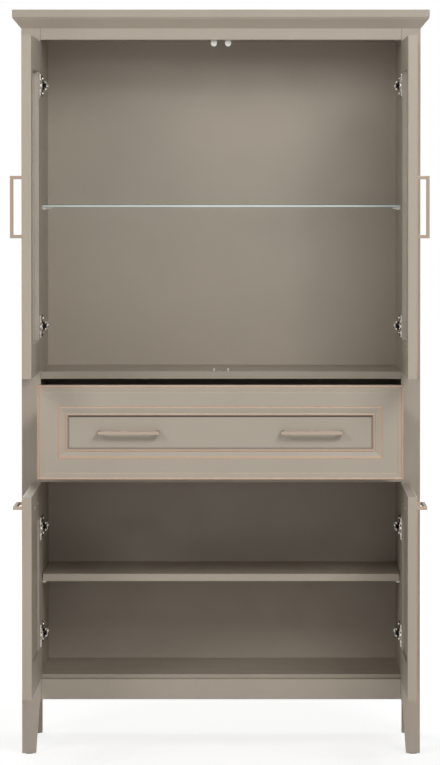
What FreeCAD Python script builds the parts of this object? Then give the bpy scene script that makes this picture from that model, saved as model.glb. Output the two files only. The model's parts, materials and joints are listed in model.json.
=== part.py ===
import FreeCAD, Part
import os
from math import cos, pi, radians, sin
from FreeCAD import Vector

# A tall display cabinet in painted wood: glazed doors above, one drawer, and panelled doors below.
# Millimetres. X runs to the right, Y to the back and Z up. The origin is on the floor, on the
# centre line, halfway between the back and the free edges of the doors as they stand open.
# The doors are drawn open at a right angle and the drawer is drawn pulled out.

# ---- Carcass ----
OPENING_WIDTH = 866.0
BODY_DEPTH = 400.0
BACK_INSET = 29.0
POST_WIDTH = 46.0
POST_DEPTH = 40.0
REAR_POST_DEPTH = 33.0
INNER_SIDE_THICKNESS = 16.0
RAIL_THICKNESS = 22.0
PANEL_THICKNESS = 18.0
BACK_THICKNESS = 4.0
BACK_GROOVE = 7.5
FIT_CLEARANCE = 0.2
EASED_EDGE = 1.0
EASED_POST_EDGE = 1.5
SMALL_ROUND_SIDES = 12
LARGE_ROUND_SIDES = 24

# ---- Heights, from the floor up ----
GLIDE_THICKNESS = 2.0
APRON_UNDERSIDE = 132.0
APRON_HEIGHT = 49.0
APRON_THICKNESS = 24.0
BOTTOM_PANEL_STEP = 8.4
LOWER_DOOR_HEIGHT = 469.0
DIVIDER_THICKNESS = 20.0
DRAWER_FRONT_HEIGHT = 222.0
MIDDLE_PANEL_THICKNESS = 18.0
UPPER_DOOR_HEIGHT = 790.0
TOP_RAIL_HEIGHT = 53.0
TOP_PANEL_STEP = 8.0
TOP_BOARD_THICKNESS = 19.0
REVEAL = 3.0

# ---- Cornice ----
CORNICE_OVERHANG = 21.0
CORNICE_NOSE_SETBACK = 1.0
CORNICE_HEIGHT = 26.0
CORNICE_SLOPE_OUT = 17.8
CORNICE_SLOPE_RISE = 21.8
CORNICE_NOSE_RISE = 24.5

# ---- Feet ----
FOOT_SHOULDER_HEIGHT = 25.0
FOOT_SHOULDER_CUT = 6.0
FOOT_TOE_WIDTH = 33.0
FOOT_TOE_DEPTH = 29.0
GLIDE_RADIUS = 11.0

# ---- Framed outer sides ----
SIDE_TOP_RAIL_HEIGHT = 90.0
SIDE_BOTTOM_RAIL_HEIGHT = 80.0
SIDE_PANEL_THICKNESS = 9.0
SIDE_PANEL_RECESS = 12.0
SIDE_PANEL_GROOVE = 8.0

# ---- Shelves ----
GLASS_SHELF_THICKNESS = 6.0
GLASS_ARRIS = 0.6
GLASS_SHELF_SETBACK = 60.0
GLASS_SHELF_HEIGHT = 394.0
WOOD_SHELF_THICKNESS = 18.0
WOOD_SHELF_SETBACK = 45.0
WOOD_SHELF_HEIGHT = 223.0
SHELF_BACK_GAP = 4.0
SHELF_SIDE_GAP = 1.5
SHELF_PIN_RADIUS = 2.5
SHELF_PIN_DEPTH = 9.0
SHELF_PIN_INSET = 35.0
SHELF_TAB_LENGTH = 9.0
SHELF_TAB_WIDTH = 10.0
SHELF_TAB_THICKNESS = 2.0

# ---- Framed leaves: the doors and the drawer front ----
LEAF_THICKNESS = 22.0
FRAME_WIDTH = 75.0
EDGE_BEAD_RADIUS = 2.5
EDGE_QUIRK_AT = 5.2
BAND_DEPTH = 0.6
BAND_END = 13.0
BAND_END_DEPTH = 1.2
FLAT_START = 15.0
FLAT_DEPTH = 2.2
FLAT_END = 49.5
BEVEL_START = 50.5
BEVEL_START_DEPTH = 3.4
BEVEL_END = 65.5
BEVEL_END_DEPTH = 6.6
LIP_BEAD_TOP = 5.2
LIP_BEAD_END = 71.0
LIP_EDGE_DEPTH = 7.4
FILL_DEPTH = 8.4
GLASS_THICKNESS = 4.0
WOOD_FILL_THICKNESS = 9.0
FILL_GROOVE = 8.0

# ---- Door pivots and stops ----
PIVOT_DEPTH = 8.5
STOP_CLEARANCE = 0.5
STOP_SPACING = 34.0
BUMPER_WIDTH = 15.0
BUMPER_DROP = 15.0
BUMPER_LENGTH = 14.0
PEG_RADIUS = 2.3
PEG_HEIGHT = 7.0

# ---- Concealed hinges ----
HINGE_FROM_END = 106.0
CUP_FROM_EDGE = 21.5
CUP_RADIUS = 17.5
CUP_DEPTH = 11.5
CUP_WALL = 1.0
CUP_COVER_HEIGHT = 63.0
CUP_COVER_RISE = 4.8
CUP_COVER_START = 2.5
CUP_COVER_END = 41.0
CUP_COVER_SHEET = 1.2
CUP_COVER_SLOT_START = 13.0
CUP_COVER_SLOT_HALF_WIDTH = 10.5
HOOK_HALF_WIDTH = 2.8
HOOK_THICKNESS = 2.8
HOOK_FROM_EDGE = 15.5
HOOK_OVERREACH = 1.8
HOOK_LIFT = 1.4
ARM_HALF_WIDTH = 10.0
ARM_SHEET = 1.5
ARM_STANDOFF = 2.0
ARM_HEIGHT = 13.5
ARM_START = 36.0
ARM_END = 108.0
ARM_NOSE_RADIUS = 4.0
ARM_PIN_RADIUS = 2.0
ARM_PIN_DEPTH = 31.0
ARM_PIN_OFF_WALL = 9.5
PLATE_WING_HEIGHT = 52.0
PLATE_WING_AT = 59.0
PLATE_WING_WIDTH = 18.0
PLATE_RIB_START = 42.0
PLATE_RIB_END = 98.0
LINK_LENGTH = 38.5
LINK_THICKNESS = 3.0
LINK_TIP_RADIUS = 2.0
LINK_EYE_RADIUS = 3.5
LINK_INNER = 3.1
LINK_OUTER = 6.0
LINK_OPEN_ANGLE = -97.0
PIN_RUNNING_CLEARANCE = 0.05
DOOR_OPEN_ANGLE = 90.0

# ---- Handles ----
HANDLE_LENGTH = 144.0
HANDLE_SECTION = 8.0
HANDLE_PROJECTION = 31.0
HANDLE_EDGE_RADIUS = 0.8
HANDLE_FROM_EDGE = 37.0
DRAWER_HANDLE_SPACING = 430.0

# ---- Drawer box and its slides ----
DRAWER_PULLED_OUT = 240.0
SLIDE_WIDTH = 12.7
SLIDE_SHEET = 1.2
SLIDE_OUTER_HEIGHT = 45.0
SLIDE_MIDDLE_HEIGHT = 38.0
SLIDE_INNER_HEIGHT = 31.0
SLIDE_START = 27.0
SLIDE_ABOVE_DIVIDER = 70.0
SLIDE_LAYER_GAP = 0.8
DRAWER_BOARD = 12.0
DRAWER_BACK_GAP = 9.0
DRAWER_BOX_HEIGHT = 150.0
DRAWER_BOX_LIFT = 16.0
DRAWER_BOTTOM_THICKNESS = 5.0
DRAWER_BOTTOM_LIFT = 10.0
DRAWER_BOTTOM_GROOVE = 6.0

# ---- Places worked out from the sizes above ----
HALF_OPENING = OPENING_WIDTH / 2
HALF_BODY = HALF_OPENING + POST_WIDTH
SIDE_FACE = HALF_OPENING + INNER_SIDE_THICKNESS
DOOR_WIDTH = (OPENING_WIDTH - 3 * REVEAL) / 2
DRAWER_FRONT_WIDTH = OPENING_WIDTH - 2 * REVEAL
INTERIOR_DEPTH = BODY_DEPTH - BACK_INSET
DRAWER_BOX_LENGTH = INTERIOR_DEPTH - LEAF_THICKNESS - DRAWER_BACK_GAP
SLIDE_LENGTH = INTERIOR_DEPTH - SLIDE_START - DRAWER_BACK_GAP

PIVOT_OUT = LEAF_THICKNESS - PIVOT_DEPTH
OPEN_STANDOFF = PIVOT_OUT + REVEAL - PIVOT_DEPTH
DOOR_REACH = DOOR_WIDTH + OPEN_STANDOFF
FRONT = (DOOR_REACH - BODY_DEPTH) / 2
BACK = FRONT + BODY_DEPTH
INTERIOR_BACK = FRONT + INTERIOR_DEPTH

APRON_TOP = APRON_UNDERSIDE + APRON_HEIGHT
BOTTOM_PANEL_TOP = APRON_TOP + BOTTOM_PANEL_STEP
LOWER_DOOR_BASE = APRON_TOP + REVEAL
DIVIDER_BASE = LOWER_DOOR_BASE + LOWER_DOOR_HEIGHT + REVEAL
DIVIDER_TOP = DIVIDER_BASE + DIVIDER_THICKNESS
DRAWER_BASE = DIVIDER_TOP + REVEAL
MIDDLE_PANEL_BASE = DRAWER_BASE + DRAWER_FRONT_HEIGHT + REVEAL
MIDDLE_PANEL_TOP = MIDDLE_PANEL_BASE + MIDDLE_PANEL_THICKNESS
UPPER_DOOR_BASE = MIDDLE_PANEL_TOP + REVEAL
TOP_RAIL_BASE = UPPER_DOOR_BASE + UPPER_DOOR_HEIGHT + REVEAL
CARCASS_TOP = TOP_RAIL_BASE + TOP_RAIL_HEIGHT
CEILING = TOP_RAIL_BASE + TOP_PANEL_STEP
GLASS_SHELF_BASE = MIDDLE_PANEL_TOP + GLASS_SHELF_HEIGHT
WOOD_SHELF_BASE = BOTTOM_PANEL_TOP + WOOD_SHELF_HEIGHT

PIVOT = Vector(-HALF_OPENING - PIVOT_OUT, FRONT + PIVOT_DEPTH, 0)
ARM_PIN = Vector(-HALF_OPENING + ARM_PIN_OFF_WALL, FRONT + ARM_PIN_DEPTH, 0)
UP = Vector(0, 0, 1)
RIGHT = Vector(1, 0, 0)
REARWARD = Vector(0, 1, 0)


def block(low, high):
    """A box between two corners."""
    size = [b - a for a, b in zip(low, high)]
    return Part.makeBox(*size, Vector(*low))


def prism(points, along):
    """A straight-sided prism on a closed outline."""
    corners = [Vector(*point) for point in points]
    return Part.Face(Part.makePolygon(corners + corners[:1])).extrude(along)


def rod(radius, start, direction, length, sides=SMALL_ROUND_SIDES):
    """A round bar drawn with flats: its corners lie on the radius."""
    turn = FreeCAD.Rotation(UP, direction)
    corners = []
    for step in range(sides):
        angle = 2 * pi * step / sides
        corners.append(Vector(*start) + turn.multVec(Vector(cos(angle), sin(angle), 0) * radius))
    return prism(corners, direction * length)


def bore_radius(radius, sides=SMALL_ROUND_SIDES):
    """The radius to the corners of a bore whose flats just clear a bar of the given radius."""
    return (radius + PIN_RUNNING_CLEARANCE) / cos(pi / sides)


def eased(board, size=EASED_EDGE):
    """A board with the edges round its front face cut back."""
    front = board.BoundBox.YMin
    edges = [
        edge for edge in board.Edges if all(abs(vertex.Y - front) < 1e-6 for vertex in edge.Vertexes)
    ]
    return board.makeChamfer(size, edges)


def outline(*pieces):
    """A face inside a chain of lines (two points) and arcs (three points)."""
    edges = []
    for piece in pieces:
        points = [Vector(*point) for point in piece]
        curve = Part.LineSegment(*points) if len(points) == 2 else Part.Arc(*points)
        edges.append(curve.toShape())
    return Part.Face(Part.Wire(edges))


def mirrored(shape):
    """The same shape on the other side of the centre line."""
    return shape.mirror(Vector(0, 0, 0), RIGHT)


def both_sides(shape):
    return [shape, mirrored(shape)]


def save(node, solids):
    """Write one node, made of one solid or of several separate ones."""
    solids = solids if isinstance(solids, list) else [solids]
    shape = solids[0] if len(solids) == 1 else Part.makeCompound(solids)
    shape.exportStep(f"parts/{node}.step")


# ---- Carcass ----
def front_post():
    """The left front post: a square upright that ends in a foot, cut back on its two inner sides."""
    toe = GLIDE_THICKNESS
    shoulder = APRON_UNDERSIDE - FOOT_SHOULDER_HEIGHT
    middle = (APRON_UNDERSIDE + shoulder) / 2

    def face(width, toe_width, place):
        waist = width - FOOT_SHOULDER_CUT
        bulge = width - FOOT_SHOULDER_CUT * 0.7
        return outline(
            (place(0, toe), place(0, CARCASS_TOP)),
            (place(0, CARCASS_TOP), place(width, CARCASS_TOP)),
            (place(width, CARCASS_TOP), place(width, APRON_UNDERSIDE)),
            (place(width, APRON_UNDERSIDE), place(bulge, middle), place(waist, shoulder)),
            (place(waist, shoulder), place(toe_width, toe)),
            (place(toe_width, toe), place(0, toe)),
        )

    across = face(POST_WIDTH, FOOT_TOE_WIDTH, lambda u, z: (-HALF_BODY + u, FRONT, z))
    deep = face(POST_DEPTH, FOOT_TOE_DEPTH, lambda u, z: (-HALF_BODY, FRONT + u, z))
    post = across.extrude(REARWARD * POST_DEPTH).common(deep.extrude(RIGHT * POST_WIDTH))
    post = post.cut(eased_corner(-HALF_BODY, 1)).cut(eased_corner(-HALF_OPENING, -1))
    return post.cut(side_panel(0)).Solids[0]


def eased_corner(x, inward):
    """The sliver that comes off an upright front edge of a post above its foot."""
    size = EASED_POST_EDGE if inward > 0 else EASED_EDGE
    corner = [(x, FRONT, 0), (x + inward * size, FRONT, 0), (x, FRONT + size, 0)]
    return prism(corner, UP * CARCASS_TOP)


def rear_post():
    post = block(
        (-HALF_BODY, BACK - REAR_POST_DEPTH, GLIDE_THICKNESS), (-SIDE_FACE, BACK, CARCASS_TOP)
    )
    return post.cut(side_panel(0))


def side_panel(clearance=FIT_CLEARANCE):
    """The thin panel of the left outer side. Without clearance it is the groove that holds it."""
    let_in = SIDE_PANEL_GROOVE - clearance
    face = -HALF_BODY + SIDE_PANEL_RECESS
    return block(
        (face, FRONT + POST_DEPTH - let_in, APRON_UNDERSIDE + SIDE_BOTTOM_RAIL_HEIGHT - let_in),
        (
            face + SIDE_PANEL_THICKNESS,
            BACK - REAR_POST_DEPTH + let_in,
            CARCASS_TOP - SIDE_TOP_RAIL_HEIGHT + let_in,
        ),
    )


def side_rails():
    rails = []
    for base, top in (
        (APRON_UNDERSIDE, APRON_UNDERSIDE + SIDE_BOTTOM_RAIL_HEIGHT),
        (CARCASS_TOP - SIDE_TOP_RAIL_HEIGHT, CARCASS_TOP),
    ):
        rail = block(
            (-HALF_BODY, FRONT + POST_DEPTH, base), (-SIDE_FACE, BACK - REAR_POST_DEPTH, top)
        )
        rails.append(rail.cut(side_panel(0)))
    return rails


def inner_side():
    """The left inner side, grooved for the back and bored for the shelf pins."""
    side = block(
        (-SIDE_FACE, FRONT + POST_DEPTH, APRON_UNDERSIDE), (-HALF_OPENING, BACK, CARCASS_TOP)
    )
    groove = block(
        (-HALF_OPENING - BACK_GROOVE - FIT_CLEARANCE, INTERIOR_BACK, APRON_UNDERSIDE),
        (-HALF_OPENING, INTERIOR_BACK + BACK_THICKNESS, CARCASS_TOP),
    )
    side = side.cut(groove)
    for start, depth, height in shelf_pin_places():
        bore = rod(
            bore_radius(SHELF_PIN_RADIUS),
            (-HALF_OPENING - SHELF_PIN_DEPTH - FIT_CLEARANCE, start, height),
            RIGHT,
            SHELF_PIN_DEPTH + FIT_CLEARANCE,
        )
        side = side.cut(bore)
    return side


def across_opening(base, thickness, front_setback, back=INTERIOR_BACK, side_gap=0.0):
    """A board that lies between the two sides."""
    return block(
        (-HALF_OPENING + side_gap, FRONT + front_setback, base),
        (HALF_OPENING - side_gap, back, base + thickness),
    )


def carcass():
    rail_back = FRONT + RAIL_THICKNESS
    apron_back = FRONT + APRON_THICKNESS
    save("front_post_left", front_post())
    save("front_post_right", mirrored(front_post()))
    save("rear_posts", both_sides(rear_post()))
    save("side_rails", [rail for left in side_rails() for rail in both_sides(left)])
    save("side_panels", both_sides(side_panel()))
    save("inner_side_left", inner_side())
    save("inner_side_right", mirrored(inner_side()))
    save("top_rail", eased(across_opening(TOP_RAIL_BASE, TOP_RAIL_HEIGHT, 0, rail_back)))
    save("apron", eased(across_opening(APRON_UNDERSIDE, APRON_HEIGHT, 0, apron_back)))
    save("top_panel", across_opening(CEILING, PANEL_THICKNESS, RAIL_THICKNESS))
    save("middle_panel", eased(across_opening(MIDDLE_PANEL_BASE, MIDDLE_PANEL_THICKNESS, 0)))
    save("drawer_divider", eased(across_opening(DIVIDER_BASE, DIVIDER_THICKNESS, 0)))
    bottom_base = BOTTOM_PANEL_TOP - PANEL_THICKNESS
    save("bottom_panel", across_opening(bottom_base, PANEL_THICKNESS, APRON_THICKNESS))
    rear_rail_front = INTERIOR_DEPTH - RAIL_THICKNESS
    save("rear_rail", across_opening(APRON_UNDERSIDE, bottom_base - APRON_UNDERSIDE, rear_rail_front))
    back = block(
        (-HALF_OPENING - BACK_GROOVE, INTERIOR_BACK, APRON_UNDERSIDE),
        (HALF_OPENING + BACK_GROOVE, INTERIOR_BACK + BACK_THICKNESS, CEILING + PANEL_THICKNESS),
    )
    save("back_panel", back)


def foot_glides():
    front_centre = (-HALF_BODY + FOOT_TOE_WIDTH / 2, FRONT + FOOT_TOE_DEPTH / 2)
    rear_centre = (-(HALF_BODY + SIDE_FACE) / 2, BACK - REAR_POST_DEPTH / 2)
    glides = []
    for x, y in (front_centre, rear_centre):
        glides += both_sides(rod(GLIDE_RADIUS, (x, y, 0), UP, GLIDE_THICKNESS, LARGE_ROUND_SIDES))
    save("foot_glides", glides)


# ---- Cornice ----
def cornice_section(place):
    """The sloping moulding under the top board, as distance out from the body and height."""
    out = CORNICE_OVERHANG - CORNICE_NOSE_SETBACK
    bend = (out - 0.6, (CORNICE_SLOPE_RISE + CORNICE_NOSE_RISE) / 2)
    return outline(
        (place(0, 0), place(CORNICE_SLOPE_OUT, CORNICE_SLOPE_RISE)),
        (place(CORNICE_SLOPE_OUT, CORNICE_SLOPE_RISE), place(*bend), place(out, CORNICE_NOSE_RISE)),
        (place(out, CORNICE_NOSE_RISE), place(out, CORNICE_HEIGHT)),
        (place(out, CORNICE_HEIGHT), place(0, CORNICE_HEIGHT)),
        (place(0, CORNICE_HEIGHT), place(0, 0)),
    )


def eased_on_three_sides(board):
    """A board with every edge of its front and its two ends cut back."""
    edges = [edge for edge in board.Edges if edge.BoundBox.YMin < board.BoundBox.YMax - 1e-6]
    return board.makeChamfer(EASED_EDGE, edges)


def cornice():
    base = CARCASS_TOP - CORNICE_HEIGHT
    out = CORNICE_OVERHANG
    outer = HALF_BODY + out
    front = cornice_section(lambda u, v: (-outer, FRONT - u, base + v)).extrude(RIGHT * 2 * outer)
    front_mitre = prism(
        [
            (-HALF_BODY, FRONT, base),
            (HALF_BODY, FRONT, base),
            (outer, FRONT - out, base),
            (-outer, FRONT - out, base),
        ],
        UP * CORNICE_HEIGHT,
    )
    save("cornice_front", front.common(front_mitre).Solids[0])

    length = BODY_DEPTH + out
    side = cornice_section(lambda u, v: (-HALF_BODY - u, FRONT - out, base + v))
    side_mitre = prism(
        [
            (-HALF_BODY, FRONT, base),
            (-outer, FRONT - out, base),
            (-outer, BACK, base),
            (-HALF_BODY, BACK, base),
        ],
        UP * CORNICE_HEIGHT,
    )
    returns = side.extrude(REARWARD * length).common(side_mitre).Solids[0]
    save("cornice_returns", both_sides(returns))
    top_board = block(
        (-outer, FRONT - out, CARCASS_TOP), (outer, BACK, CARCASS_TOP + TOP_BOARD_THICKNESS)
    )
    save("top_board", eased_on_three_sides(top_board))


# ---- Shelves ----
def shelf_pin_places():
    """Where the left side's shelf pins go: distance back, shelf setback and height of the pin."""
    places = []
    for base, setback in (
        (GLASS_SHELF_BASE, GLASS_SHELF_SETBACK),
        (WOOD_SHELF_BASE, WOOD_SHELF_SETBACK),
    ):
        height = base - SHELF_TAB_THICKNESS - SHELF_PIN_RADIUS
        for start in (FRONT + setback + SHELF_PIN_INSET, INTERIOR_BACK - SHELF_PIN_INSET):
            places.append((start, setback, height))
    return places


def shelves():
    back = INTERIOR_BACK - SHELF_BACK_GAP
    glass = across_opening(
        GLASS_SHELF_BASE, GLASS_SHELF_THICKNESS, GLASS_SHELF_SETBACK, back, SHELF_SIDE_GAP
    )
    wood = across_opening(
        WOOD_SHELF_BASE, WOOD_SHELF_THICKNESS, WOOD_SHELF_SETBACK, back, SHELF_SIDE_GAP
    )
    save("glass_shelf", eased(glass, GLASS_ARRIS))
    save("wood_shelf", eased(wood))
    pins = []
    for start, setback, height in shelf_pin_places():
        shank = rod(
            SHELF_PIN_RADIUS,
            (-HALF_OPENING - SHELF_PIN_DEPTH, start, height),
            RIGHT,
            SHELF_PIN_DEPTH + SHELF_TAB_LENGTH,
        )
        tab_base = height + SHELF_PIN_RADIUS - SHELF_TAB_THICKNESS / 2
        tab = block(
            (-HALF_OPENING, start - SHELF_TAB_WIDTH / 2, tab_base),
            (
                -HALF_OPENING + SHELF_TAB_LENGTH,
                start + SHELF_TAB_WIDTH / 2,
                height + SHELF_PIN_RADIUS + SHELF_TAB_THICKNESS,
            ),
        )
        pins += both_sides(shank.fuse(tab).removeSplitter())
    save("shelf_pins", pins)


# ---- Framed leaves ----
def member_section(place, fill_thickness):
    """The moulded section of a door's frame, as distance in from the edge and depth from the face."""
    r = EDGE_BEAD_RADIUS
    bead_end = (r + r * cos(radians(30)), r - r * sin(radians(30)))
    quirk = (EDGE_QUIRK_AT, bead_end[1])
    lip_middle = ((BEVEL_END + LIP_BEAD_END) / 2, LIP_BEAD_TOP)
    groove_bottom = FRAME_WIDTH - FILL_GROOVE
    fill_back = FILL_DEPTH + fill_thickness
    corners = [
        quirk,
        (EDGE_QUIRK_AT, BAND_DEPTH),
        (BAND_END, BAND_END_DEPTH),
        (FLAT_START, FLAT_DEPTH),
        (FLAT_END, FLAT_DEPTH),
        (BEVEL_START, BEVEL_START_DEPTH),
        (BEVEL_END, BEVEL_END_DEPTH),
    ]
    inside = [
        (LIP_BEAD_END, BEVEL_END_DEPTH),
        (FRAME_WIDTH, LIP_EDGE_DEPTH),
        (FRAME_WIDTH, FILL_DEPTH),
        (groove_bottom, FILL_DEPTH),
        (groove_bottom, fill_back),
        (FRAME_WIDTH, fill_back),
        (FRAME_WIDTH, LEAF_THICKNESS),
        (0, LEAF_THICKNESS),
        (0, r),
    ]
    chain = [((0, r), (r, 0), bead_end), (bead_end, quirk)]
    chain += list(zip(corners, corners[1:]))
    chain += [(corners[-1], lip_middle, inside[0])]
    chain += list(zip(inside, inside[1:]))
    return outline(*[[place(*point) for point in piece] for piece in chain])


def leaf(width, height, fill_thickness):
    """A framed leaf: X from 0 to its width, Y from its face to its back, Z from 0 to its height."""
    inner_width = width - FRAME_WIDTH
    inner_height = height - FRAME_WIDTH
    stile = member_section(lambda u, w: (u, w, 0), fill_thickness).extrude(UP * height)
    stile_mitre = prism(
        [(0, 0, 0), (FRAME_WIDTH, 0, FRAME_WIDTH), (FRAME_WIDTH, 0, inner_height), (0, 0, height)],
        REARWARD * LEAF_THICKNESS,
    )
    left = stile.common(stile_mitre).Solids[0]
    rail = member_section(lambda u, w: (0, w, u), fill_thickness).extrude(RIGHT * width)
    rail_mitre = prism(
        [(0, 0, 0), (FRAME_WIDTH, 0, FRAME_WIDTH), (inner_width, 0, FRAME_WIDTH), (width, 0, 0)],
        REARWARD * LEAF_THICKNESS,
    )
    lower = rail.common(rail_mitre).Solids[0]
    let_in = FRAME_WIDTH - FILL_GROOVE + FIT_CLEARANCE
    fill = block(
        (let_in, FILL_DEPTH, let_in),
        (width - let_in, FILL_DEPTH + fill_thickness, height - let_in),
    )
    return {
        "left": left,
        "right": left.mirror(Vector(width / 2, 0, 0), RIGHT),
        "lower": lower,
        "upper": lower.mirror(Vector(0, 0, height / 2), UP),
        "fill": fill,
    }


# ---- Handles ----
def handle(upright, position):
    """A square bar handle standing out to -Y from the face it is fixed to."""
    half = HANDLE_LENGTH / 2
    leg = HANDLE_SECTION
    grip = block((-half, -HANDLE_PROJECTION, -leg / 2), (half, 0, leg / 2))
    gap = block(
        (-half + leg, -HANDLE_PROJECTION + leg, -leg / 2),
        (half - leg, 0, leg / 2),
    )
    bar = grip.cut(gap)
    outer_edges = [
        edge
        for edge in bar.Edges
        if all(abs(vertex.Y + HANDLE_PROJECTION) < 1e-6 for vertex in edge.Vertexes)
    ]
    bar = bar.makeFillet(HANDLE_EDGE_RADIUS, outer_edges)
    if upright:
        bar.rotate(Vector(0, 0, 0), REARWARD, 90)
    bar.translate(Vector(*position))
    return bar


# ---- Concealed hinges ----
def cup_cover(height):
    """The half-moon cover on a cup's rim: a domed bar along the stile, slotted for arm and link."""
    back = LEAF_THICKNESS
    start = CUP_COVER_START
    half_height = CUP_COVER_HEIGHT / 2
    low = (start, back, height - half_height)
    high = (start, back, height + half_height)
    crown = (start, back + CUP_COVER_RISE, height)
    cover = outline((low, crown, high), (high, low)).extrude(RIGHT * (CUP_COVER_END - start))
    half_slot = CUP_COVER_SLOT_HALF_WIDTH
    slot = block(
        (CUP_COVER_SLOT_START, back + CUP_COVER_SHEET, height - half_slot),
        (CUP_COVER_END, back + CUP_COVER_RISE, height + half_slot),
    )
    return cover.cut(slot)


def hinge_cup(height):
    """The cup let into a closed door, its cover, and the hook that reaches over the cup's rim."""
    back = LEAF_THICKNESS
    x = CUP_FROM_EDGE
    mouth = CUP_RADIUS - CUP_WALL
    floor = back - CUP_DEPTH + CUP_WALL
    through = CUP_DEPTH + CUP_COVER_RISE
    bowl = rod(CUP_RADIUS, (x, back - CUP_DEPTH, height), REARWARD, CUP_DEPTH, LARGE_ROUND_SIDES)
    bowl = bowl.fuse(cup_cover(height))
    bowl = bowl.cut(rod(mouth, (x, floor, height), REARWARD, through, LARGE_ROUND_SIDES))

    low = back + HOOK_LIFT
    top = low + HOOK_THICKNESS
    root = HOOK_FROM_EDGE
    inner = root - HOOK_THICKNESS
    z = height - HOOK_HALF_WIDTH
    turn = root - HOOK_THICKNESS * (1 - cos(radians(45)))
    crest = low + HOOK_THICKNESS * sin(radians(45))
    hook = prism(
        [
            (inner, floor, z),
            (root, floor, z),
            (root, low, z),
            (turn, crest, z),
            (inner, top, z),
            (-HOOK_OVERREACH, top, z),
            (-HOOK_OVERREACH, low, z),
            (inner, low, z),
        ],
        UP * 2 * HOOK_HALF_WIDTH,
    )
    return bowl.fuse(hook).removeSplitter()


def cup_pocket(height):
    depth = CUP_DEPTH + FIT_CLEARANCE
    return rod(
        CUP_RADIUS + PIN_RUNNING_CLEARANCE,
        (CUP_FROM_EDGE, LEAF_THICKNESS - depth, height),
        REARWARD,
        depth,
        LARGE_ROUND_SIDES,
    )


def hinge_plate(height):
    """The mounting plate on the left side: two screw wings and a rib that carries the arm."""
    wall = -HALF_OPENING
    half_wing = PLATE_WING_HEIGHT / 2
    wing = block(
        (wall, FRONT + PLATE_WING_AT - PLATE_WING_WIDTH / 2, height - half_wing),
        (wall + ARM_STANDOFF, FRONT + PLATE_WING_AT + PLATE_WING_WIDTH / 2, height + half_wing),
    )
    rib_half = ARM_HALF_WIDTH - ARM_SHEET - FIT_CLEARANCE
    rib = block(
        (wall, FRONT + PLATE_RIB_START, height - rib_half),
        (wall + ARM_HEIGHT - ARM_SHEET, FRONT + PLATE_RIB_END, height + rib_half),
    )
    return wing.fuse(rib).removeSplitter()


def hinge_arm(height):
    """The channel-shaped arm, whose two cheeks carry the pin of the link."""
    low = -HALF_OPENING + ARM_STANDOFF
    high = -HALF_OPENING + ARM_HEIGHT
    z = height - ARM_HALF_WIDTH
    tall = UP * 2 * ARM_HALF_WIDTH
    nose = rod(ARM_NOSE_RADIUS, (ARM_PIN.x, ARM_PIN.y, z), UP, tall.z)
    nose_low = ARM_PIN.x - ARM_NOSE_RADIUS
    start = FRONT + ARM_START
    end = FRONT + ARM_END
    shank = prism(
        [(nose_low, ARM_PIN.y, z), (high, ARM_PIN.y, z), (high, end, z), (low, end, z), (low, start, z)],
        tall,
    )
    cheek = ARM_HALF_WIDTH - ARM_SHEET
    hollow = block(
        (low, start, height - cheek), (high - ARM_SHEET, end, height + cheek)
    )
    fork = block(
        (low - ARM_NOSE_RADIUS, FRONT, height - cheek),
        (high + ARM_NOSE_RADIUS, start, height + cheek),
    )
    pin = rod(ARM_PIN_RADIUS, (ARM_PIN.x, ARM_PIN.y, z), UP, tall.z)
    return shank.fuse(nose).cut(hollow).cut(fork).fuse(pin).removeSplitter()


def hinge_link(height):
    """The forked link on the arm's pin, whose two prongs reach past the hook on the door."""
    tip = ARM_PIN + Vector(LINK_LENGTH, 0, 0)
    base = height - LINK_OUTER
    tall = UP * 2 * LINK_OUTER
    half = LINK_THICKNESS / 2
    bar = prism(
        [
            (ARM_PIN.x, ARM_PIN.y - half, base),
            (tip.x, tip.y - half, base),
            (tip.x, tip.y + half, base),
            (ARM_PIN.x, ARM_PIN.y + half, base),
        ],
        tall,
    )
    knuckle = rod(LINK_TIP_RADIUS, (tip.x, tip.y, base), UP, tall.z)
    slot = block(
        (ARM_PIN.x + LINK_EYE_RADIUS, ARM_PIN.y - LINK_EYE_RADIUS, height - LINK_INNER),
        (tip.x + LINK_EYE_RADIUS, tip.y + LINK_EYE_RADIUS, height + LINK_INNER),
    )
    eye = rod(LINK_EYE_RADIUS, (ARM_PIN.x, ARM_PIN.y, base), UP, tall.z)
    bore = rod(bore_radius(ARM_PIN_RADIUS), (ARM_PIN.x, ARM_PIN.y, base), UP, tall.z)
    link = bar.fuse(knuckle).cut(slot).fuse(eye).cut(bore).removeSplitter()
    link.rotate(ARM_PIN, UP, LINK_OPEN_ANGLE)
    return link


def hinge_heights(base, height):
    return [base + HINGE_FROM_END, base + height - HINGE_FROM_END]


def fixed_hinge_halves():
    heights = hinge_heights(LOWER_DOOR_BASE, LOWER_DOOR_HEIGHT)
    heights += hinge_heights(UPPER_DOOR_BASE, UPPER_DOOR_HEIGHT)
    save("hinge_plates", [half for z in heights for half in both_sides(hinge_plate(z))])
    save("hinge_arms", [half for z in heights for half in both_sides(hinge_arm(z))])


# ---- Doors ----
def opened(solids, base):
    """Move a closed left leaf to its place in the opening and swing it open."""
    swung = []
    for solid in solids:
        copy = solid.copy()
        copy.translate(Vector(-HALF_OPENING + REVEAL, FRONT, base))
        copy.rotate(PIVOT, UP, -DOOR_OPEN_ANGLE)
        swung.append(copy)
    return swung


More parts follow.
